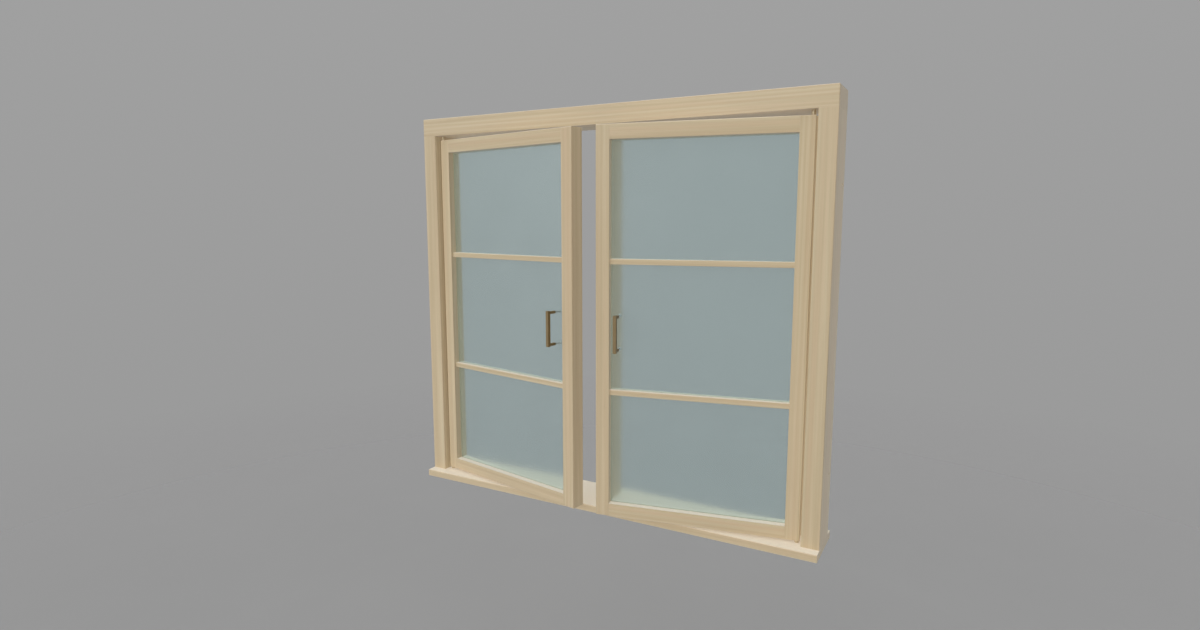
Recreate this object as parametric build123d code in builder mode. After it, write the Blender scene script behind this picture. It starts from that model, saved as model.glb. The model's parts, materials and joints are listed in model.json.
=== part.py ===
"""Double casement window in timber, standing with both sashes ajar.

A head, two jambs, a mullion and a sill make the frame.  Each sash has two stiles, two
rails and two glazing bars round three panes, and swings on a brass pivot at its top and
bottom corner.  The origin is in the middle of the sill's underside, +X runs along the
window, +Y points out of the room and +Z is up.
"""

import os

from build123d import *

# Frame, in millimetres and degrees
frame_width = 1200.0
frame_height = 1080.0  # from the sill's top to the head's top
frame_depth = 102.0
jamb_width = 45.0
head_height = 50.0
mullion_width = 36.0
frame_arris = 1.5

# Sill board
sill_thickness = 20.0
sill_overhang = 27.0  # past the frame, at the front and at the back
drip_groove_width = 6.0
drip_groove_depth = 4.0
drip_groove_margin = 8.0  # from the back edge of the sill

# Stub tenons of the jambs and the mullion
post_tenon_width = 16.0
post_tenon_shoulder = 20.0  # from the post's front and back
post_head_tenon = 25.0
post_sill_tenon = 12.0

# Fixing holes through the jambs
fixing_hole_diameter = 8.0
fixing_hole_spacing = 700.0
fixing_hole_from_back = 22.0

# Sashes
sash_thickness = 42.0
sash_setback = 14.5  # from the frame's front, when closed
stile_width = 36.0
top_rail_height = 37.0
bottom_rail_height = 34.0
bar_height = 14.0
bar_setback = 6.5  # from the sash's front and back
sash_arris = 1.5
bar_arris = 1.0
rest_angle = 10.8  # how far both sashes stand open

# Running gaps round a closed sash
jamb_gap = 7.0
mullion_gap = 6.5
head_gap = 12.0
sill_gap = 5.5

# Sash joinery and glazing
rail_tenon_thickness = 14.0
rail_tenon_length = 24.0
rail_tenon_inset = 6.0  # from the sash's top or bottom edge
glass_thickness = 6.0
groove_depth = 10.0
bar_groove_depth = 4.0
glass_bed = 0.2  # each side of the glass
glass_edge_gap = 1.0
joint_fit = 0.1  # each side of a tenon
mortise_slack = 1.0  # past the end of a tenon

# Pivots
pivot_inset = 7.0  # from the stile's hinge edge and from its front
pin_diameter = 6.0
pin_in_sash = 20.0
pin_in_frame = 12.0
pin_running_gap = 0.1
pin_slack = 1.0
collar_diameter = 10.0
collar_clearance = 0.3

# Pull handles
handle_length = 96.0
handle_bar_size = 9.0  # square
handle_leg_size = 7.0  # square
handle_leg_spacing = 86.0
handle_projection = 28.5  # from the sash's front to the middle of the bar
handle_leg_clearance = 3.0  # from the sash's front to the legs' ends
handle_stud_diameter = 4.0
handle_foot_diameter = 9.0
handle_foot_thickness = 1.2
handle_from_stile = 24.0
handle_height = 492.0  # from the sash's bottom edge to the handle's middle
handle_edge_radius = 0.8

# Places that follow from the sizes
frame_front = -frame_depth / 2
frame_back = frame_depth / 2
head_underside = sill_thickness + frame_height - head_height
post_height = head_underside - sill_thickness
jamb_x = (frame_width - jamb_width) / 2
light_width = (frame_width - 2 * jamb_width - mullion_width) / 2

sash_width = light_width - jamb_gap - mullion_gap
sash_height = post_height - head_gap - sill_gap
sash_bottom = sill_thickness + sill_gap
sash_front = frame_front + sash_setback
mullion_front = sash_front
rail_length = sash_width - 2 * stile_width
mid_thickness = sash_thickness / 2
mid_width = sash_width / 2

groove_width = glass_thickness + 2 * glass_bed
glass_front = mid_thickness - glass_thickness / 2
bar_pitch = (sash_height + sill_gap) / 3
rail_tenon_waste = rail_tenon_inset + groove_depth

pivot_x = -frame_width / 2 + jamb_width + jamb_gap + pivot_inset
pivot_y = sash_front + pivot_inset

# The left sash lies on this plane: x from its hinge edge, y from its front, z from its foot
pivot_place = Location((pivot_x, pivot_y, sash_bottom), (0, 0, -rest_angle))
sash_plane = Plane(pivot_place * Location((-pivot_inset, -pivot_inset, 0)))
along_sash = Axis(sash_plane.origin, sash_plane.x_dir)

os.makedirs("parts", exist_ok=True)


def finish(piece, name):
    """Label a finished piece and write it to its own file."""
    piece.label = name
    export_step(piece, f"parts/{name}.step")


def finish_pair(piece, name):
    """Write a piece of the left sash or jamb, and its mirror image on the right."""
    finish(piece, f"left_{name}")
    finish(mirror(piece, about=Plane.YZ), f"right_{name}")


def post_tenon_depth(front):
    """How far a post's tenon runs from front to back."""
    return frame_back - front - 2 * post_tenon_shoulder


def cut_post_mortises(level, depth):
    """Cut the mortises for both jambs and the mullion upwards or downwards from a level."""
    for x, front in ((-jamb_x, frame_front), (0, mullion_front), (jamb_x, frame_front)):
        with BuildSketch(Plane.XY.offset(level)) as outline:
            with Locations((x, (front + frame_back) / 2)):
                Rectangle(post_tenon_width + 2 * joint_fit, post_tenon_depth(front) + 2 * joint_fit)
        extrude(outline.sketch, amount=depth, mode=Mode.SUBTRACT)


def cut_pivot_seats(level, depth):
    """Bore the seats of both pivot pins upwards or downwards from a level."""
    with BuildSketch(Plane.XY.offset(level)) as outline:
        with Locations((pivot_x, pivot_y), (-pivot_x, pivot_y)):
            Circle(pin_diameter / 2 + pin_running_gap)
    extrude(outline.sketch, amount=depth, mode=Mode.SUBTRACT)


def raise_post(x, front, width):
    """A post from the sill to the head, with a stub tenon at each end."""
    with BuildSketch(Plane.XY.offset(sill_thickness)) as outline:
        with Locations((x, (front + frame_back) / 2)):
            Rectangle(width, frame_back - front)
    post = extrude(outline.sketch, amount=post_height)
    chamfer(post.edges().filter_by(Axis.Z), frame_arris)
    with BuildSketch(Plane.XY.offset(sill_thickness - post_sill_tenon)) as outline:
        with Locations((x, (front + frame_back) / 2)):
            Rectangle(post_tenon_width, post_tenon_depth(front))
    extrude(outline.sketch, amount=post_sill_tenon + post_height + post_head_tenon)


# Head, over the full width, with square lower edges that lie flush on the jambs
with BuildPart() as head:
    with BuildSketch(Plane.XY.offset(head_underside)):
        Rectangle(frame_width, frame_depth)
    extrude(amount=head_height)
    underside_edges = head.edges().group_by(Axis.Z)[0]
    chamfer(head.edges() - underside_edges, frame_arris)
    cut_post_mortises(head_underside, post_head_tenon + mortise_slack)
    cut_pivot_seats(head_underside, pin_in_frame + pin_slack)
finish(head.part, "head")

# Sill board, with a drip groove under its outer edge
with BuildPart() as sill:
    with BuildSketch():
        Rectangle(frame_width, frame_depth + 2 * sill_overhang)
    extrude(amount=sill_thickness)
    chamfer(sill.edges().filter_by(Axis.X), frame_arris)
    with BuildSketch():
        with Locations((0, frame_back + sill_overhang - drip_groove_margin - drip_groove_width / 2)):
            Rectangle(frame_width, drip_groove_width)
    extrude(amount=drip_groove_depth, mode=Mode.SUBTRACT)
    cut_post_mortises(sill_thickness, -(post_sill_tenon + mortise_slack))
    cut_pivot_seats(sill_thickness, -(pin_in_frame + pin_slack))
finish(sill.part, "sill")

# Jambs, each with fixing holes through to the wall behind the closed sash
with BuildPart() as jamb:
    raise_post(-jamb_x, frame_front, jamb_width)
    with BuildSketch(Plane.YZ.offset(-frame_width / 2)):
        with Locations((frame_back - fixing_hole_from_back, sill_thickness + post_height / 2)):
            with GridLocations(0, fixing_hole_spacing, 1, 2):
                Circle(fixing_hole_diameter / 2)
    extrude(amount=jamb_width, mode=Mode.SUBTRACT)
finish_pair(jamb.part, "jamb")

# Mullion, level with the fronts of the closed sashes and with the frame's back
with BuildPart() as mullion:
    raise_post(0, mullion_front, mullion_width)
finish(mullion.part, "mullion")

# Pivots: a pin through a collar, seated in the frame and running in the sash's corner
with BuildPart() as bottom_pivot:
    with BuildSketch(Plane.XY.offset(sill_thickness)):
        with Locations((pivot_x, pivot_y)):
            Circle(collar_diameter / 2)
    extrude(amount=sill_gap - collar_clearance)
    with BuildSketch(Plane.XY.offset(sill_thickness - pin_in_frame)):
        with Locations((pivot_x, pivot_y)):
            Circle(pin_diameter / 2)
    extrude(amount=pin_in_frame + sill_gap + pin_in_sash)
finish_pair(bottom_pivot.part, "bottom_pivot")

with BuildPart() as top_pivot:
    with BuildSketch(Plane.XY.offset(head_underside)):
        with Locations((pivot_x, pivot_y)):
            Circle(collar_diameter / 2)
    extrude(amount=-(head_gap - collar_clearance))
    with BuildSketch(Plane.XY.offset(head_underside + pin_in_frame)):
        with Locations((pivot_x, pivot_y)):
            Circle(pin_diameter / 2)
    extrude(amount=-(pin_in_frame + head_gap + pin_in_sash))
finish_pair(top_pivot.part, "top_pivot")


def make_stile(outer_edge, inner_edge):
    """A full-height stile, mortised for the rails and grooved for the glass, its outer arrises eased."""
    with BuildSketch(sash_plane) as outline:
        with Locations(((outer_edge + inner_edge) / 2, mid_thickness)):
            Rectangle(stile_width, sash_thickness)
    stile = extrude(outline.sketch, amount=sash_height)
    uprights = stile.edges().filter_by(Axis.Z).sort_by(along_sash, reverse=outer_edge > inner_edge)
    outer_uprights = uprights[:2]
    chamfer(outer_uprights + stile.edges().filter_by(along_sash), sash_arris)

    inward = 1 if outer_edge < inner_edge else -1
    mortise_depth = rail_tenon_length + mortise_slack
    bottom_tenon = bottom_rail_height - rail_tenon_waste
    top_tenon = top_rail_height - rail_tenon_waste
    for level, tenon_height in (
        (rail_tenon_inset, bottom_tenon),
        (sash_height - rail_tenon_inset - top_tenon, top_tenon),
    ):
        with BuildSketch(sash_plane.offset(level - joint_fit)) as outline:
            with Locations((inner_edge - inward * mortise_depth / 2, mid_thickness)):
                Rectangle(mortise_depth, rail_tenon_thickness + 2 * joint_fit)
        extrude(outline.sketch, amount=tenon_height + 2 * joint_fit, mode=Mode.SUBTRACT)

    groove_foot = bottom_rail_height - groove_depth
    groove_top = sash_height - top_rail_height + groove_depth
    with BuildSketch(sash_plane.offset(groove_foot)) as outline:
        with Locations((inner_edge - inward * groove_depth / 2, mid_thickness)):
            Rectangle(groove_depth, groove_width)
    extrude(outline.sketch, amount=groove_top - groove_foot, mode=Mode.SUBTRACT)


# Hinge stile, bored at both ends for the pivot pins
with BuildPart() as hinge_stile:
    make_stile(0, stile_width)
    for level, bore in ((0, pin_in_sash + pin_slack), (sash_height, -(pin_in_sash + pin_slack))):
        with BuildSketch(sash_plane.offset(level)):
            with Locations((pivot_inset, pivot_inset)):
                Circle(pin_diameter / 2 + pin_running_gap)
        extrude(amount=bore, mode=Mode.SUBTRACT)
finish_pair(hinge_stile.part, "hinge_stile")

# Meeting stile, beside the mullion
with BuildPart() as meeting_stile:
    make_stile(sash_width, sash_width - stile_width)
finish_pair(meeting_stile.part, "meeting_stile")


def make_cross_member(foot, height, thickness):
    """The body of a rail or a bar, between the two stiles, and its long edges."""
    with BuildSketch(sash_plane.offset(foot)) as outline:
        with Locations((mid_width, mid_thickness)):
            Rectangle(rail_length, thickness)
    member = extrude(outline.sketch, amount=height)
    return member.edges().filter_by(along_sash)


def add_tenons(foot, height, length, thickness):
    """A tenon on both ends of a rail or a bar."""
    with BuildSketch(sash_plane.offset(foot)) as outline:
        with Locations((mid_width, mid_thickness)):
            Rectangle(rail_length + 2 * length, thickness)
    extrude(outline.sketch, amount=height)


def cut_groove(edge, depth):
    """A groove for the glass, upwards or downwards from an edge."""
    with BuildSketch(sash_plane.offset(edge)) as outline:
        with Locations((mid_width, mid_thickness)):
            Rectangle(rail_length, groove_width)
    extrude(outline.sketch, amount=depth, mode=Mode.SUBTRACT)


# Rails, with their outer arrises eased
with BuildPart() as bottom_rail:
    long_edges = make_cross_member(0, bottom_rail_height, sash_thickness)
    chamfer(long_edges.group_by(Axis.Z)[0], sash_arris)
    add_tenons(
        rail_tenon_inset,
        bottom_rail_height - rail_tenon_waste,
        rail_tenon_length,
        rail_tenon_thickness,
    )
    cut_groove(bottom_rail_height, -groove_depth)
finish_pair(bottom_rail.part, "bottom_rail")

with BuildPart() as top_rail:
    long_edges = make_cross_member(sash_height - top_rail_height, top_rail_height, sash_thickness)
    chamfer(long_edges.group_by(Axis.Z)[-1], sash_arris)
    add_tenons(
        sash_height - top_rail_height + groove_depth,
        top_rail_height - rail_tenon_waste,
        rail_tenon_length,
        rail_tenon_thickness,
    )
    cut_groove(sash_height - top_rail_height, groove_depth)
finish_pair(top_rail.part, "top_rail")

# Glazing bars at the thirds between the sill and the sash's top, grooved above and below
for number, name in enumerate(("lower_bar", "upper_bar"), start=1):
    bar_foot = number * bar_pitch - sill_gap - bar_height / 2
    with BuildPart() as bar:
        long_edges = make_cross_member(bar_foot, bar_height, sash_thickness - 2 * bar_setback)
        chamfer(long_edges, bar_arris)
        add_tenons(
            bar_foot + bar_groove_depth,
            bar_height - 2 * bar_groove_depth,
            groove_depth - glass_edge_gap,
            glass_thickness,
        )
        cut_groove(bar_foot, bar_groove_depth)
        cut_groove(bar_foot + bar_height, -bar_groove_depth)
    finish_pair(bar.part, name)

# Panes, each held in the grooves round it
pane_lap = groove_depth - glass_edge_gap
pane_bar_lap = bar_groove_depth - glass_edge_gap
pane_names = ("lower_pane", "middle_pane", "upper_pane")
for number, name in enumerate(pane_names):
    pane_foot = number * bar_pitch - sill_gap + bar_height / 2 - pane_bar_lap
    pane_top = (number + 1) * bar_pitch - sill_gap - bar_height / 2 + pane_bar_lap
    if number == 0:
        pane_foot = bottom_rail_height - pane_lap
    if number == len(pane_names) - 1:
        pane_top = sash_height - top_rail_height + pane_lap
    with BuildPart() as pane:
        with BuildSketch(sash_plane.offset(pane_foot)):
            with Locations((mid_width, mid_thickness)):
                Rectangle(rail_length + 2 * pane_lap, glass_thickness)
        extrude(amount=pane_top - pane_foot)
    finish_pair(pane.part, name)

# Pull handle: a square bar on two square legs, each on a stud whose foot is bonded to the middle pane
handle_x = sash_width - stile_width - handle_from_stile
pane_face = Plane(
    sash_plane.from_local_coords((handle_x, glass_front, handle_height)),
    x_dir=sash_plane.x_dir,
    z_dir=-sash_plane.y_dir,
)
stud_length = glass_front + handle_leg_clearance
leg_length = handle_projection - handle_leg_clearance
with BuildPart() as pull_handle:
    with BuildSketch(sash_plane.offset(handle_height - handle_length / 2)):
        with Locations((handle_x, -handle_projection)):
            Rectangle(handle_bar_size, handle_bar_size)
    grip = extrude(amount=handle_length)
    fillet(grip.edges(), handle_edge_radius)
    with BuildSketch(pane_face.offset(stud_length)):
        with GridLocations(0, handle_leg_spacing, 1, 2):
            RectangleRounded(handle_leg_size, handle_leg_size, handle_edge_radius)
    extrude(amount=leg_length)
    for diameter, length in (
        (handle_stud_diameter, stud_length),
        (handle_foot_diameter, handle_foot_thickness),
    ):
        with BuildSketch(pane_face):
            with GridLocations(0, handle_leg_spacing, 1, 2):
                Circle(diameter / 2)
        extrude(amount=length)
finish_pair(pull_handle.part, "pull_handle")
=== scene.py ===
"""Looks of the double casement window.

Pale timber, frosted glass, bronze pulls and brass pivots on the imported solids, a stop lath on each
jamb, and a plain grey studio.
"""

import json
import math

import bmesh
import bpy
from bpy.props import FloatProperty, FloatVectorProperty, PointerProperty
from mathutils import Euler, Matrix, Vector


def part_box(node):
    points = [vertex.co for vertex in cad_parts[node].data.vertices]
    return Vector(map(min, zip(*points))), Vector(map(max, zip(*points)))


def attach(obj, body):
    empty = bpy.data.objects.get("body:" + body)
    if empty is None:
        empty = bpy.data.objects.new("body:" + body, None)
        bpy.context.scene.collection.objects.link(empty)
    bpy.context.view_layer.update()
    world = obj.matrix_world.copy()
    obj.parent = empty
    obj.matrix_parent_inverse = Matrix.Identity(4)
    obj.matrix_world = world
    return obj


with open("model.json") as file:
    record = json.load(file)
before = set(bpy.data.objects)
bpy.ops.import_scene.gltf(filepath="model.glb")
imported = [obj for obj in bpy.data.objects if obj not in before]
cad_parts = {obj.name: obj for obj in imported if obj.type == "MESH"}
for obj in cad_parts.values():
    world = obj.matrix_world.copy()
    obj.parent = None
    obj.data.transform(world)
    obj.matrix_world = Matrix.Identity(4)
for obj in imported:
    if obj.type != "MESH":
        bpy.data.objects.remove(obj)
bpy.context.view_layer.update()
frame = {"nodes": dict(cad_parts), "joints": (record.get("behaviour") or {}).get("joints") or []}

bl_info = {
    "name": "Double casement window",
    "version": (1, 0, 0),
    "blender": (4, 5, 0),
    "location": "View3D > Sidebar > Window",
    "description": "Finishes a double casement window's timber, glass and metal, and sets its studio",
    "category": "Object",
}

FRAME_UPRIGHTS = ("left_jamb", "right_jamb", "mullion")
FRAME_LEVELS = ("head", "sill")
SASH_UPRIGHTS = ("hinge_stile", "meeting_stile")
SASH_LEVELS = ("top_rail", "bottom_rail", "upper_bar", "lower_bar")
FRAME_MEMBERS = len(FRAME_UPRIGHTS) + len(FRAME_LEVELS)
SASH_MEMBERS = len(SASH_UPRIGHTS) + len(SASH_LEVELS)
PANES = ("upper_pane", "middle_pane", "lower_pane")
PIVOTS = ("top_pivot", "bottom_pivot")
# Each side of the window, and the sign along X from its jamb inwards. Its sash opens by turning
# about Z against that sign
SIDES = {"left": 1, "right": -1}

# Turns that lay a member's grain along X: an upright one's, and that of a level one in the frame
UPRIGHT_TURN = (0.0, math.radians(90), 0.0)
LEVEL_TURN = (0.0, 0.0, 0.0)
# Each member is cut from its own place in the log, spread evenly round the pith
GOLDEN_ANGLE = math.radians(137.5)
LOG_STEP = 2.3
# A tone that differs from member to member, as a share of the timber's tone spread. Partly painted
# light: the sixth, the left hinge stile's, is raised to paint light over the shade it stands in, set
# back behind the left jamb and the head
MEMBER_TONES_AND_PAINTED_LIGHT = (0.3, -1.4, -0.2, -0.6, 0.5, 1.5, 0.0, 0.3, 0.8, 0.2, -0.3)

# Noise of each finish, in features a metre along each axis. Timber's first axis runs along its grain
STREAK_NOISE = (1.3, 105.0, 105.0)
FLUSH_NOISE = (0.8, 68.0, 68.0)
FIBRE_NOISE = (6.0, 620.0, 620.0)
PORE_NOISE = (34.0, 900.0, 900.0)
RUB_NOISE = (9.0, 60.0, 60.0)
FROST_NOISE = (7.0, 7.0, 7.0)
BLOTCH_NOISE = (70.0, 70.0, 45.0)
MARK_NOISE = (1500.0, 1500.0, 60.0)
TARNISH_NOISE = (240.0, 240.0, 240.0)
MOTTLE_NOISE = (1.6, 1.6, 1.6)

# The part of a noise's range over which each finish changes
FLUSH_RANGE = (0.44, 0.68)
FIBRE_RANGE = (0.25, 0.75)
PORE_RANGE = (0.64, 0.74)
RUB_RANGE = (0.38, 0.68)
BARE_RANGE = (0.3, 0.8)
TARNISH_RANGE = (0.3, 0.65)
MIDDLE_RANGE = (0.3, 0.7)

# Cosines between a face and a direction, from where a change starts to where it is full
UPWARD = (0.6, 0.95)
END_ON = (0.75, 0.95)
HANDLED = (-0.4, -0.9)
TIMBER_ARRIS = (0.995, 0.90)
BRONZE_ARRIS = (0.99, 0.85)

# Changes of roughness, from the low end of what drives them to the high end
FIBRE_GLOSS = (0.08, -0.07)
FROST_GLOSS = (-0.02, 0.02)
BRONZE_GLOSS = (0.1, -0.08)
LATHE_GLOSS = (-0.06, 0.08)

# Rings are drawn out along the grain. They have a share in the timber's figure and in its relief
RING_STRETCH = (0.05, 1.0, 1.0)
RING_FIGURE = 0.22
RING_RELIEF = 0.35
# Where early, middle and late wood lie in the figure
WOOD_STOPS = (0.38, 0.60, 0.90)
FIBRE_TONES = ((0.93, 0.92, 0.90), (1.05, 1.05, 1.05))
# How far the arrises are rubbed, from the least worn places to the most
RUB_SHARES = (0.05, 0.5)
# Pores and ends, as shades of late wood
PORE_SHADE = 0.72
END_SHADE = 0.86

# Where patina, handled bronze and rubbed bronze lie in the wear, which blotches and hands share
BRONZE_STOPS = (0.2, 0.75, 1.0)
BLOTCH_WEAR = 0.5
HANDLED_WEAR = 0.5
MARK_TONES = ((0.88, 0.88, 0.88), (1.1, 1.1, 1.1))
# How metallic the metals are, from their dullest places to their barest
BARE_BRONZE = (0.0, 0.25)
BARE_BRASS = (0.5, 0.85)
TARNISH_SHADE = 0.75

# Slight unevenness of the glass and the floor
EVEN_TONES = (0.99, 1.01)
# The floor fades out between these shares of its reach
FLOOR_FADE = (0.3, 0.95)

# Fill lamps: the setting of each one's strength, and the way from the window towards it
FILLS = (
    ("side_fill", (0.6, 0.8, 0.0)),
    ("side_fill", (-0.6, 0.8, 0.0)),
    ("front_fill", (0.0, -1.0, 0.0)),
    ("top_fill", (0.0, 0.0, 1.0)),
)
SENSOR_WIDTH = 36.0

# Sockets of a Mix node that mixes colours, which share their names with its other sockets
MIX_FACTOR, MIX_FIRST, MIX_SECOND, MIX_RESULT = 0, 6, 7, 2
# A wave texture of scale 1 turns through this angle in each metre
WAVE_RADIANS = 20.0


# Sizes and colours that a user would change


def colour_setting(name, description, default):
    return FloatVectorProperty(name=name, description=description, subtype="COLOR", default=default)


def length_setting(name, description, default):
    return FloatProperty(name=name, description=description, subtype="DISTANCE", default=default)


def share_setting(name, description, default):
    return FloatProperty(name=name, description=description, subtype="FACTOR", default=default)


def strength_setting(name, description, default):
    return FloatProperty(name=name, description=description, default=default)


def angle_setting(name, description, degrees):
    default = math.radians(degrees)
    return FloatProperty(name=name, description=description, subtype="ANGLE", default=default)


def direction_setting(name, description, default):
    return FloatVectorProperty(name=name, description=description, subtype="DIRECTION", default=default)


class TimberFinish(bpy.types.PropertyGroup):
    """Pale, satin-finished timber with its grain along each member."""

    early_wood: colour_setting("Early wood", "Palest wood, between ring lines", (0.567, 0.474, 0.316))
    middle_wood: colour_setting("Middle wood", "Wood halfway through a ring", (0.517, 0.421, 0.270))
    late_wood: colour_setting("Late wood", "Darkest wood, at the ring line", (0.460, 0.358, 0.219))
    blush: colour_setting("Blush", "Warmer streaks along the grain", (0.540, 0.411, 0.266))
    worn: colour_setting("Worn arris", "Rubbed wood along the edges", (0.640, 0.560, 0.425))
    # Painted light: the pale colour given to faces that look up stands in for brighter light from above
    painted_top_light: colour_setting("Bleached", "Sun-bleached wood that looks up", (0.780, 0.712, 0.596))
    ring_spacing: length_setting("Ring spacing", "From one ring line to the next", 0.011)
    pith_distance: length_setting("Pith distance", "From a member's middle to the log's middle", 0.11)
    tone_spread: share_setting("Tone spread", "How far members differ in tone", 0.02)
    blushing: share_setting("Blushing", "How strong the warmer streaks are", 0.75)
    pores: share_setting("Pores", "How strong the pores are", 0.3)
    # Painted light: how far faces that look up are painted paler
    painted_top_light_share: share_setting("Bleaching", "How far faces that look up are bleached", 0.85)
    end_darkening: share_setting("End darkening", "How far the ends are darkened", 0.3)
    roughness: share_setting("Roughness", "Middle roughness of the satin finish", 0.5)
    varnish: share_setting("Varnish", "Weight of the clear coat", 0.2)
    varnish_roughness: share_setting("Varnish roughness", "Roughness of the clear coat", 0.38)
    sheen: share_setting("Sheen", "Grey sheen of fine fibres on faces seen aslant", 0.2)
    sheen_roughness: share_setting("Sheen roughness", "Roughness of the fibres' sheen", 0.5)
    arris_radius: length_setting("Arris radius", "Softness of the edges in the finish", 0.0012)
    fibre_depth: length_setting("Fibre depth", "Depth of the raised grain", 0.00012)


class LathSizes(bpy.types.PropertyGroup):
    """Stop laths on the jambs, behind the closed sashes."""

    width: length_setting("Lath width", "From the jamb's face into the opening", 0.018)
    depth: length_setting("Lath depth", "From a lath's front to its back", 0.011)
    clearance: length_setting("Lath clearance", "From the sash's back to the lath", 0.0055)
    head_room: length_setting("Lath head room", "From a lath's top to the head", 0.008)
    arris: length_setting("Lath arris", "Width of the eased edges", 0.0012)


class GlassFinish(bpy.types.PropertyGroup):
    """Frosted, faintly blue-green glass."""

    tint: colour_setting("Tint", "Colour of the glass", (0.735, 0.870, 0.870))
    transmission: share_setting("Transmission", "Share of light that the frosting lets through", 0.95)
    roughness: share_setting("Roughness", "Middle roughness of the frosting", 0.2)
    grain: length_setting("Frosting grain", "Size of the frosting's grains", 0.0012)
    grain_depth: length_setting("Grain depth", "Depth of the frosting's grains", 0.000004)


class MetalFinish(bpy.types.PropertyGroup):
    """Aged bronze pulls on grey studs, and dulled brass pivots."""

    patina: colour_setting("Patina", "Dark bronze, where hands don't reach", (0.150, 0.104, 0.042))
    bronze: colour_setting("Bronze", "Handled bronze, on the front of a pull", (0.222, 0.160, 0.080))
    rubbed: colour_setting("Rubbed bronze", "Bronze along rubbed edges", (0.300, 0.226, 0.128))
    rubbing: share_setting("Rubbing", "How far the edges of a pull are rubbed", 0.35)
    edge_radius: length_setting("Edge radius", "Radius that a pull's rubbed edges follow", 0.0009)
    bronze_roughness: share_setting("Bronze roughness", "Middle roughness of the pulls", 0.45)
    mark_depth: length_setting("Mark depth", "Depth of the fine marks on a pull", 0.00003)
    stud: colour_setting("Stud", "Colour of the studs and feet behind the pulls", (0.30, 0.36, 0.35))
    stud_length: length_setting("Stud length", "From the pane to a pull's leg", 0.021)
    stud_roughness: share_setting("Stud roughness", "Roughness of the studs and feet", 0.55)
    brass: colour_setting("Brass", "Colour of the pivots", (0.66, 0.55, 0.37))
    brass_roughness: share_setting("Brass roughness", "Middle roughness of the pivots", 0.45)
    lathe_pitch: length_setting("Lathe pitch", "From one turning line on a pivot to the next", 0.0006)
    lathe_depth: length_setting("Lathe depth", "Depth of the turning lines on a pivot", 0.00002)


class StudioSettings(bpy.types.PropertyGroup):
    """Camera, lamps, floor and background."""

    camera_place: FloatVectorProperty(
        name="Camera place",
        description="Where the camera stands",
        subtype="TRANSLATION",
        default=(0.89432, -1.68519, 0.80496),
    )
    camera_turn: FloatVectorProperty(
        name="Camera turn",
        description="How the camera is turned",
        subtype="EULER",
        default=(math.radians(82.194), 0.0, math.radians(28.607)),
    )
    lens: FloatProperty(
        name="Lens", description="Focal length on a 36 mm sensor", unit="CAMERA", default=20.946
    )
    floor_drop: length_setting("Floor drop", "From the sill's underside down to the floor", 0.9)
    floor_reach: length_setting("Floor reach", "Radius of the floor", 6.0)
    floor_grey: share_setting("Floor grey", "Tone of the floor in the picture", 0.32)
    floor_bounce: share_setting("Floor bounce", "Share of light that the floor throws back up", 0.5)
    backdrop_grey: share_setting("Backdrop grey", "Tone of the background at eye level", 0.339)
    backdrop_rise: share_setting("Backdrop rise", "How much paler the background is overhead", 0.054)
    light_below: strength_setting("Light from below", "Soft light from straight below", 0.43)
    light_above: strength_setting("Light from above", "Soft light from straight above", 0.17)
    key_strength: strength_setting("Key light", "Strength of the lamp in front", 0.56)
    key_direction: direction_setting("Key direction", "Towards the lamp in front", (-0.44, -0.87, 0.21))
    key_spread: angle_setting("Key spread", "How wide the lamp in front looks", 24)
    top_strength: strength_setting("Top light", "Strength of the lamp overhead", 0.8)
    top_direction: direction_setting("Top direction", "Towards the lamp overhead", (-0.05, -0.36, 0.93))
    top_spread: angle_setting("Top spread", "How wide the lamp overhead looks", 80)
    side_fill: strength_setting("Side fill", "Strength of the fill behind each side", 0.94)
    front_fill: strength_setting("Front fill", "Strength of the fill from straight in front", 1.24)
    top_fill: strength_setting("Top fill", "Strength of the fill from straight above", 1.28)
    fill_spread: angle_setting("Fill spread", "How wide each fill looks", 30)


class WindowSettings(bpy.types.PropertyGroup):
    """All settings of the window's looks."""

    timber: PointerProperty(type=TimberFinish)
    laths: PointerProperty(type=LathSizes)
    glass: PointerProperty(type=GlassFinish)
    metal: PointerProperty(type=MetalFinish)
    studio: PointerProperty(type=StudioSettings)


# Node building


def node(tree, kind, inputs=None, **attributes):
    """A new shader node. An input is a plain value, or another node's socket, which is linked."""
    made = tree.nodes.new(kind)
    for name, value in attributes.items():
        setattr(made, name, value)
    connect(tree, made, inputs or {})
    return made


def connect(tree, made, inputs):
    """Set a node's inputs, or link them to other nodes' sockets."""
    for name, value in inputs.items():
        if isinstance(value, bpy.types.NodeSocket):
            tree.links.new(value, made.inputs[name])
        else:
            made.inputs[name].default_value = value


def opaque(colour):
    """A colour with its alpha."""
    return (*colour, 1.0)


def mix_colour(tree, factor, first, second, blend="MIX"):
    """Two colours mixed by a factor."""
    inputs = {MIX_FACTOR: factor, MIX_FIRST: first, MIX_SECOND: second}
    made = node(tree, "ShaderNodeMix", inputs, data_type="RGBA", blend_type=blend)
    return made.outputs[MIX_RESULT]


def ramp(tree, factor, places, colours):
    """A colour ramp with each colour at its place."""
    made = node(tree, "ShaderNodeValToRGB", {"Fac": factor})
    elements = made.color_ramp.elements
    while len(elements) < len(places):
        elements.new(0.5)
    for element, place, colour in zip(elements, places, colours):
        element.position = place
        element.color = opaque(colour)
    return made.outputs["Color"]


def spread(tree, value, limits, results):
    """A value carried from its limits to the results, and held at their ends."""
    inputs = {
        "Value": value,
        "From Min": limits[0],
        "From Max": limits[1],
        "To Min": results[0],
        "To Max": results[1],
    }
    return node(tree, "ShaderNodeMapRange", inputs).outputs["Result"]


def around(middle, changes):
    """A middle value with each change added."""
    return [middle + change for change in changes]


def mapped(tree, place, **inputs):
    """A place that is moved, turned or stretched."""
    return node(tree, "ShaderNodeMapping", {"Vector": place, **inputs}).outputs["Vector"]


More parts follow.
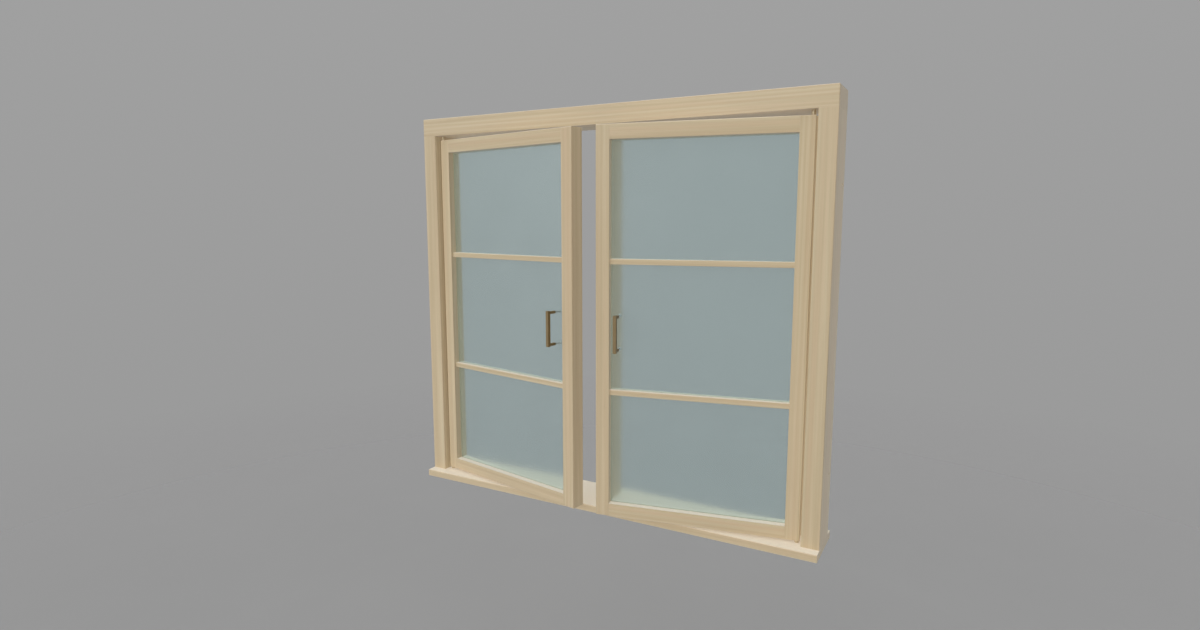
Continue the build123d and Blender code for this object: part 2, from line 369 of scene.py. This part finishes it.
def stretched_noise(tree, place, scales, detail=3.0, rough=0.5):
    """Noise with its own scale, in features a metre, along each axis."""
    stretched = mapped(tree, place, Scale=scales)
    inputs = {"Vector": stretched, "Scale": 1.0, "Detail": detail, "Roughness": rough}
    return node(tree, "ShaderNodeTexNoise", inputs).outputs["Fac"]


def wave(tree, place, spacing, inputs, **attributes):
    """Waves this far apart."""
    inputs = {"Vector": place, "Scale": 2 * math.pi / WAVE_RADIANS / spacing, **inputs}
    return node(tree, "ShaderNodeTexWave", inputs, **attributes).outputs["Fac"]


def arithmetic(tree, operation, first, second):
    """One sum of two values."""
    return node(tree, "ShaderNodeMath", {0: first, 1: second}, operation=operation).outputs["Value"]


def along(tree, vector, direction):
    """How far a vector reaches along a direction."""
    made = node(tree, "ShaderNodeVectorMath", {0: vector, 1: direction}, operation="DOT_PRODUCT")
    return made.outputs["Value"]


def bump(tree, height, depth, normal=None):
    """A normal that follows a height map of the given depth."""
    inputs = {"Height": height, "Distance": depth, "Strength": 0.5}
    if normal:
        inputs["Normal"] = normal
    return node(tree, "ShaderNodeBump", inputs).outputs["Normal"]


def rounded_edges(tree, radius):
    """A normal that rounds the edges off."""
    return node(tree, "ShaderNodeBevel", {"Radius": radius}, samples=6).outputs["Normal"]


def edge_mask(tree, rounded, cosines):
    """One along the edges, where the rounded normal leaves the face's own, and nought on flat faces."""
    face = node(tree, "ShaderNodeNewGeometry").outputs["True Normal"]
    return spread(tree, along(tree, face, rounded), cosines, (0.0, 1.0))


def in_picture(tree):
    """One where it is seen, straight, mirrored or through glass, and nought where it gives light."""
    path = node(tree, "ShaderNodeLightPath")
    seen = arithmetic(tree, "MAXIMUM", path.outputs["Is Camera Ray"], path.outputs["Is Glossy Ray"])
    seen = arithmetic(tree, "MAXIMUM", seen, path.outputs["Is Transmission Ray"])
    unscattered = arithmetic(tree, "LESS_THAN", path.outputs["Diffuse Depth"], 0.5)
    return arithmetic(tree, "MULTIPLY", seen, unscattered)


def start_material(name):
    """A new material, its node tree and its main shader."""
    material = bpy.data.materials.new(name)
    material.use_nodes = True
    tree = material.node_tree
    return material, tree, tree.nodes["Principled BSDF"]


# Solids of the frame


def dress(node_name, material):
    """Give a CAD node its one material."""
    materials = frame["nodes"][node_name].data.materials
    materials.clear()
    materials.append(material)


def middle_of(node_name):
    """The middle of a CAD node's box at rest."""
    low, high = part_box(node_name)
    return (low + high) / 2


def closing_turn(side):
    """The turn about Z that closes a sash from rest."""
    joint = next(j for j in frame["joints"] if j["child"] == side + "_sash")
    return -SIDES[side] * math.radians(joint["range_deg"][0])


# Materials


def make_timber(name, finish, turn, number, middle):
    """Solid timber, with rings round a pith outside the member: long grain on faces, arcs on ends."""
    material, tree, shader = start_material("timber_" + name)
    to_log = Euler(turn).to_matrix()
    angle = number * GOLDEN_ANGLE
    reach = finish.pith_distance
    pith = Vector((number * LOG_STEP, reach * math.cos(angle), reach * math.sin(angle)))
    # The member's tone: a random difference, and on the left hinge stile also painted light over its
    # shade
    tone = 1.0 + finish.tone_spread * MEMBER_TONES_AND_PAINTED_LIGHT[number % len(MEMBER_TONES_AND_PAINTED_LIGHT)]

    coordinates = node(tree, "ShaderNodeTexCoord")
    normal = coordinates.outputs["Normal"]
    log = mapped(tree, coordinates.outputs["Object"], Rotation=turn, Location=pith - to_log @ middle)

    # Rings, drawn out along the grain and bent by slow noise
    rings = wave(
        tree,
        mapped(tree, log, Scale=RING_STRETCH),
        finish.ring_spacing,
        {"Distortion": 9.0, "Detail": 2.0, "Detail Scale": 0.35, "Detail Roughness": 0.55},
        wave_type="RINGS",
        rings_direction="X",
    )

    # Streaks of many widths lie over the rings
    streaks = stretched_noise(tree, log, STREAK_NOISE, detail=4.0, rough=0.55)
    figure = arithmetic(tree, "ADD", arithmetic(tree, "MULTIPLY", rings, RING_FIGURE), streaks)
    woods = [Vector(wood) * tone for wood in (finish.early_wood, finish.middle_wood, finish.late_wood)]
    colour = ramp(tree, figure, WOOD_STOPS, woods)

    # Warm flushes, fine fibres and short pores
    flushes = stretched_noise(tree, log, FLUSH_NOISE)
    flush = spread(tree, flushes, FLUSH_RANGE, (0.0, finish.blushing))
    colour = mix_colour(tree, flush, colour, opaque(finish.blush))
    fibres = stretched_noise(tree, log, FIBRE_NOISE, detail=4.0, rough=0.65)
    fibre_tone = ramp(tree, fibres, FIBRE_RANGE, FIBRE_TONES)
    colour = mix_colour(tree, 1.0, colour, fibre_tone, blend="MULTIPLY")
    pores = spread(tree, stretched_noise(tree, log, PORE_NOISE), PORE_RANGE, (0.0, finish.pores))
    colour = mix_colour(tree, pores, colour, opaque(Vector(finish.late_wood) * PORE_SHADE))

    # Painted light: faces that look up are painted paler, standing in for brighter light falling from
    # above
    upward = along(tree, normal, (0.0, 0.0, 1.0))
    top_light_mix = spread(tree, upward, UPWARD, (0.0, finish.painted_top_light_share))
    colour = mix_colour(tree, top_light_mix, colour, opaque(finish.painted_top_light))

    # Ends drink more of the finish and are darker
    grain = to_log.inverted() @ Vector((1.0, 0.0, 0.0))
    facing = arithmetic(tree, "ABSOLUTE", along(tree, normal, grain), 0.0)
    ends = spread(tree, facing, END_ON, (0.0, finish.end_darkening))
    colour = mix_colour(tree, ends, colour, opaque(Vector(finish.late_wood) * END_SHADE))

    # Arrises are rounded in the finish, and rubbed paler in places
    rounded = rounded_edges(tree, finish.arris_radius)
    patches = spread(tree, stretched_noise(tree, log, RUB_NOISE, detail=5.0), RUB_RANGE, RUB_SHARES)
    rub = arithmetic(tree, "MULTIPLY", edge_mask(tree, rounded, TIMBER_ARRIS), patches)
    colour = mix_colour(tree, rub, colour, opaque(finish.worn))

    relief = arithmetic(tree, "ADD", arithmetic(tree, "MULTIPLY", rings, RING_RELIEF), fibres)
    connect(
        tree,
        shader,
        {
            "Base Color": colour,
            "Roughness": spread(tree, fibres, FIBRE_RANGE, around(finish.roughness, FIBRE_GLOSS)),
            "Normal": bump(tree, relief, finish.fibre_depth, rounded),
            "IOR": 1.5,
            "Coat Weight": finish.varnish,
            "Coat Roughness": finish.varnish_roughness,
            "Sheen Weight": finish.sheen,
            "Sheen Roughness": finish.sheen_roughness,
        },
    )
    return material


def make_frosted_glass(finish):
    """Frosted glass: light scatters through a fine grain, with slow unevenness in the frosting."""
    material, tree, shader = start_material("frosted_glass")
    place = node(tree, "ShaderNodeTexCoord").outputs["Object"]
    clouds = stretched_noise(tree, place, FROST_NOISE, detail=4.0)
    grain = stretched_noise(tree, place, (1 / finish.grain,) * 3, detail=2.0)
    tints = [Vector(finish.tint) * tone for tone in EVEN_TONES]
    connect(
        tree,
        shader,
        {
            "Base Color": ramp(tree, clouds, MIDDLE_RANGE, tints),
            "Roughness": spread(tree, clouds, MIDDLE_RANGE, around(finish.roughness, FROST_GLOSS)),
            "Normal": bump(tree, grain, finish.grain_depth),
            "IOR": 1.5,
            "Transmission Weight": finish.transmission,
        },
    )
    return material


def make_aged_bronze(name, finish, depth, stud_start):
    """Aged bronze with a dark patina, paler in front and on edges, and satin grey studs behind it."""
    material, tree, shader = start_material("bronze_" + name)
    coordinates = node(tree, "ShaderNodeTexCoord")
    place = coordinates.outputs["Object"]
    blotches = stretched_noise(tree, place, BLOTCH_NOISE, detail=5.0, rough=0.6)
    facing = along(tree, coordinates.outputs["Normal"], depth)
    handled = spread(tree, facing, HANDLED, (0.0, HANDLED_WEAR))
    wear = arithmetic(tree, "ADD", arithmetic(tree, "MULTIPLY", blotches, BLOTCH_WEAR), handled)
    colour = ramp(tree, wear, BRONZE_STOPS, (finish.patina, finish.bronze, finish.rubbed))
    marks = stretched_noise(tree, place, MARK_NOISE)
    mark_tone = ramp(tree, marks, MIDDLE_RANGE, MARK_TONES)
    colour = mix_colour(tree, 1.0, colour, mark_tone, blend="MULTIPLY")
    edges = edge_mask(tree, rounded_edges(tree, finish.edge_radius), BRONZE_ARRIS)
    rub = arithmetic(tree, "MULTIPLY", edges, finish.rubbing)
    colour = mix_colour(tree, rub, colour, opaque(finish.rubbed))

    studs = arithmetic(tree, "GREATER_THAN", along(tree, place, depth), stud_start)
    gloss = spread(tree, blotches, MIDDLE_RANGE, around(finish.bronze_roughness, BRONZE_GLOSS))
    bareness = spread(tree, blotches, BARE_RANGE, BARE_BRONZE)
    connect(
        tree,
        shader,
        {
            "Base Color": mix_colour(tree, studs, colour, opaque(finish.stud)),
            "Roughness": spread(tree, studs, (0.0, 1.0), (gloss, finish.stud_roughness)),
            "Metallic": spread(tree, studs, (0.0, 1.0), (bareness, 0.0)),
            "Specular IOR Level": 0.3,
            "Normal": bump(tree, marks, finish.mark_depth),
        },
    )
    return material


def make_turned_brass(finish):
    """Turned brass: fine lathe lines round each pivot, and dull tarnish."""
    material, tree, shader = start_material("turned_brass")
    place = node(tree, "ShaderNodeTexCoord").outputs["Object"]
    lines = wave(
        tree,
        place,
        finish.lathe_pitch,
        {"Distortion": 1.5, "Detail": 3.0},
        wave_type="BANDS",
        bands_direction="Z",
    )
    tarnish = stretched_noise(tree, place, TARNISH_NOISE, detail=4.0)
    brass = Vector(finish.brass)
    connect(
        tree,
        shader,
        {
            "Base Color": ramp(tree, tarnish, TARNISH_RANGE, (brass * TARNISH_SHADE, brass)),
            "Roughness": spread(tree, lines, (0.0, 1.0), around(finish.brass_roughness, LATHE_GLOSS)),
            "Metallic": spread(tree, tarnish, MIDDLE_RANGE, BARE_BRASS),
            "Normal": bump(tree, lines, finish.lathe_depth),
        },
    )
    return material


def make_floor_paint(studio):
    """Matt floor that fades out away from the window, and throws light back up at it."""
    material, tree, shader = start_material("studio_floor")
    place = node(tree, "ShaderNodeTexCoord").outputs["Object"]
    mottle = stretched_noise(tree, place, MOTTLE_NOISE)
    greys = [(studio.floor_grey * tone,) * 3 for tone in EVEN_TONES]
    painted = ramp(tree, mottle, MIDDLE_RANGE, greys)
    bounce = opaque((studio.floor_bounce,) * 3)
    outwards = node(tree, "ShaderNodeVectorMath", {0: place, 1: (1.0, 1.0, 0.0)}, operation="MULTIPLY")
    radius = node(
        tree, "ShaderNodeVectorMath", {0: outwards.outputs["Vector"]}, operation="LENGTH"
    ).outputs["Value"]
    fade = [studio.floor_reach * share for share in FLOOR_FADE]
    connect(
        tree,
        shader,
        {
            "Base Color": mix_colour(tree, in_picture(tree), bounce, painted),
            "Roughness": 0.9,
            "Specular IOR Level": 0.1,
            "Alpha": spread(tree, radius, fade, (1.0, 0.0)),
        },
    )
    return material


# Operators


class WINDOW_OT_frame_timber(bpy.types.Operator):
    """Finish the head, sill, jambs and mullion in pale timber"""

    bl_idname = "window.frame_timber"
    bl_label = "Frame timber"

    def execute(self, context):
        finish = context.scene.window_looks.timber
        turns = [(name, UPRIGHT_TURN) for name in FRAME_UPRIGHTS]
        turns += [(name, LEVEL_TURN) for name in FRAME_LEVELS]
        for number, (name, turn) in enumerate(turns):
            dress(name, make_timber(name, finish, turn, number, middle_of(name)))
        return {"FINISHED"}


class WINDOW_OT_sash_timber(bpy.types.Operator):
    """Finish the stiles, rails and glazing bars of both sashes in pale timber"""

    bl_idname = "window.sash_timber"
    bl_label = "Sash timber"

    def execute(self, context):
        finish = context.scene.window_looks.timber
        number = FRAME_MEMBERS
        for side in SIDES:
            turns = [(name, UPRIGHT_TURN) for name in SASH_UPRIGHTS]
            turns += [(name, (0.0, 0.0, closing_turn(side))) for name in SASH_LEVELS]
            for name, turn in turns:
                member = f"{side}_{name}"
                dress(member, make_timber(member, finish, turn, number, middle_of(member)))
                number += 1
        return {"FINISHED"}


class WINDOW_OT_stop_laths(bpy.types.Operator):
    """Fix a stop lath to each jamb, behind the closed sash"""

    bl_idname = "window.stop_laths"
    bl_label = "Stop laths"

    def execute(self, context):
        looks = context.scene.window_looks
        sizes = looks.laths
        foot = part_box("sill")[1].z
        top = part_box("head")[0].z - sizes.head_room
        size = Vector((sizes.width, sizes.depth, top - foot))
        first_number = FRAME_MEMBERS + len(SIDES) * SASH_MEMBERS
        for number, (side, inward) in enumerate(SIDES.items(), start=first_number):
            name = side + "_stop_lath"
            jamb_low, jamb_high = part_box(side + "_jamb")
            jamb_face = jamb_high.x if inward > 0 else jamb_low.x
            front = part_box(side + "_hinge_stile")[1].y + sizes.clearance
            middle = Vector((jamb_face + inward * size.x / 2, front + size.y / 2, (foot + top) / 2))
            mesh = self.plane_lath(name, size, middle, inward, sizes.arris)
            mesh.materials.append(make_timber(name, looks.timber, UPRIGHT_TURN, number, middle))
            lath = bpy.data.objects.new(name, mesh)
            context.scene.collection.objects.link(lath)
            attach(lath, "frame")
        return {"FINISHED"}

    def plane_lath(self, name, size, middle, inward, arris):
        """The mesh of a lath whose two free upright edges are eased."""
        lath = bmesh.new()
        bmesh.ops.create_cube(lath, size=1.0)
        bmesh.ops.scale(lath, verts=lath.verts, vec=size)
        free = [edge for edge in lath.edges if all(v.co.x * inward > 0 for v in edge.verts)]
        upright = [edge for edge in free if edge.calc_length() > size.z / 2]
        bmesh.ops.bevel(
            lath,
            geom=upright,
            offset=arris,
            offset_type="OFFSET",
            affect="EDGES",
            segments=3,
            profile=0.5,
            material=-1,
        )
        bmesh.ops.translate(lath, verts=lath.verts, vec=middle)
        mesh = bpy.data.meshes.new(name)
        lath.to_mesh(mesh)
        lath.free()
        return mesh


class WINDOW_OT_panes(bpy.types.Operator):
    """Finish all panes in frosted glass"""

    bl_idname = "window.panes"
    bl_label = "Panes"

    def execute(self, context):
        glass = make_frosted_glass(context.scene.window_looks.glass)
        for side in SIDES:
            for name in PANES:
                pane = f"{side}_{name}"
                dress(pane, glass)
                # Light passes the glass, so the panes throw no shadow
                frame["nodes"][pane].visible_shadow = False
        return {"FINISHED"}


class WINDOW_OT_pulls(bpy.types.Operator):
    """Finish both pull handles in aged bronze, on grey studs"""

    bl_idname = "window.pulls"
    bl_label = "Pull handles"

    def execute(self, context):
        finish = context.scene.window_looks.metal
        for side in SIDES:
            pull = side + "_pull_handle"
            turn = Euler((0.0, 0.0, -closing_turn(side))).to_matrix()
            depth = turn @ Vector((0.0, 1.0, 0.0))
            pane_face = max(vertex.co.dot(depth) for vertex in frame["nodes"][pull].data.vertices)
            dress(pull, make_aged_bronze(pull, finish, depth, pane_face - finish.stud_length))
        return {"FINISHED"}


class WINDOW_OT_pivots(bpy.types.Operator):
    """Finish the four pivots in turned brass"""

    bl_idname = "window.pivots"
    bl_label = "Pivots"

    def execute(self, context):
        brass = make_turned_brass(context.scene.window_looks.metal)
        for side in SIDES:
            for name in PIVOTS:
                dress(f"{side}_{name}", brass)
        return {"FINISHED"}


class WINDOW_OT_studio(bpy.types.Operator):
    """Set up the floor, the background, the lamps and the camera"""

    bl_idname = "window.studio"
    bl_label = "Studio"

    def execute(self, context):
        studio = context.scene.window_looks.studio
        self.lay_floor(context, studio)
        self.paint_world(context, studio)
        self.hang_lamp(
            context, "key_lamp", studio.key_strength, studio.key_direction, studio.key_spread
        )
        self.hang_lamp(
            context, "top_lamp", studio.top_strength, studio.top_direction, studio.top_spread
        )
        for name, direction in FILLS:
            fill = self.hang_lamp(context, name, getattr(studio, name), direction, studio.fill_spread)
            # A fill throws no shadows, and doesn't show in gloss or through glass
            fill.data.use_shadow = False
            fill.visible_glossy = False
            fill.visible_transmission = False
        self.stand_camera(context, studio)
        context.scene.view_settings.view_transform = "Standard"
        return {"FINISHED"}

    def lay_floor(self, context, studio):
        disc = bmesh.new()
        bmesh.ops.create_circle(disc, cap_ends=True, radius=studio.floor_reach, segments=96)
        bmesh.ops.translate(disc, verts=disc.verts, vec=(0.0, 0.0, -studio.floor_drop))
        mesh = bpy.data.meshes.new("studio_floor")
        disc.to_mesh(mesh)
        disc.free()
        mesh.materials.append(make_floor_paint(studio))
        floor = bpy.data.objects.new("studio_floor", mesh)
        context.scene.collection.objects.link(floor)

    def paint_world(self, context, studio):
        world = bpy.data.worlds.new("studio_world")
        world.use_nodes = True
        context.scene.world = world
        tree = world.node_tree
        tree.nodes.clear()
        direction = node(tree, "ShaderNodeTexCoord").outputs["Generated"]
        height = node(tree, "ShaderNodeSeparateXYZ", {"Vector": direction}).outputs["Z"]
        rise = studio.backdrop_rise
        backdrop = self.shaded_sky(tree, height, around(studio.backdrop_grey, (-rise, rise)))
        light = self.shaded_sky(tree, height, (studio.light_below, studio.light_above))
        inputs = {0: in_picture(tree), 1: light, 2: backdrop}
        mixed = node(tree, "ShaderNodeMixShader", inputs).outputs["Shader"]
        node(tree, "ShaderNodeOutputWorld", {"Surface": mixed})

    def shaded_sky(self, tree, height, tones):
        """A background whose tone changes evenly from straight below to straight above."""
        tone = spread(tree, height, (-1.0, 1.0), tones)
        made = node(tree, "ShaderNodeBackground", {"Color": tone, "Strength": 1.0})
        return made.outputs["Background"]

    def hang_lamp(self, context, name, strength, direction, lamp_spread):
        lamp = bpy.data.lights.new(name, "SUN")
        lamp.energy = strength
        lamp.angle = lamp_spread
        hung = bpy.data.objects.new(name, lamp)
        hung.rotation_euler = Vector(direction).to_track_quat("Z", "Y").to_euler()
        context.scene.collection.objects.link(hung)
        return hung

    def stand_camera(self, context, studio):
        lens = bpy.data.cameras.new("studio_camera")
        lens.sensor_fit = "HORIZONTAL"
        lens.sensor_width = SENSOR_WIDTH
        lens.lens = studio.lens
        camera = bpy.data.objects.new("studio_camera", lens)
        camera.location = studio.camera_place
        camera.rotation_euler = studio.camera_turn
        context.scene.collection.objects.link(camera)
        context.scene.camera = camera


class WINDOW_PT_looks(bpy.types.Panel):
    """Settings and steps of the window's looks"""

    bl_idname = "WINDOW_PT_looks"
    bl_label = "Double casement window"
    bl_space_type = "VIEW_3D"
    bl_region_type = "UI"
    bl_category = "Window"

    def draw(self, context):
        looks = context.scene.window_looks
        for group in (looks.timber, looks.laths, looks.glass, looks.metal, looks.studio):
            box = self.layout.box()
            for name in group.bl_rna.properties.keys():
                if name not in ("rna_type", "name"):
                    box.prop(group, name)
        for operator in OPERATORS:
            self.layout.operator(operator.bl_idname)


GROUPS = (TimberFinish, LathSizes, GlassFinish, MetalFinish, StudioSettings, WindowSettings)
OPERATORS = (
    WINDOW_OT_frame_timber,
    WINDOW_OT_sash_timber,
    WINDOW_OT_stop_laths,
    WINDOW_OT_panes,
    WINDOW_OT_pulls,
    WINDOW_OT_pivots,
    WINDOW_OT_studio,
)
CLASSES = (*GROUPS, *OPERATORS, WINDOW_PT_looks)


def register():
    for made in CLASSES:
        bpy.utils.register_class(made)
    bpy.types.Scene.window_looks = PointerProperty(type=WindowSettings)


def unregister():
    del bpy.types.Scene.window_looks
    for made in reversed(CLASSES):
        bpy.utils.unregister_class(made)


def main():
    register()
    bpy.ops.window.frame_timber()
    bpy.ops.window.sash_timber()
    bpy.ops.window.stop_laths()
    bpy.ops.window.panes()
    bpy.ops.window.pulls()
    bpy.ops.window.pivots()
    bpy.ops.window.studio()


if __name__ == "__main__":
    main()
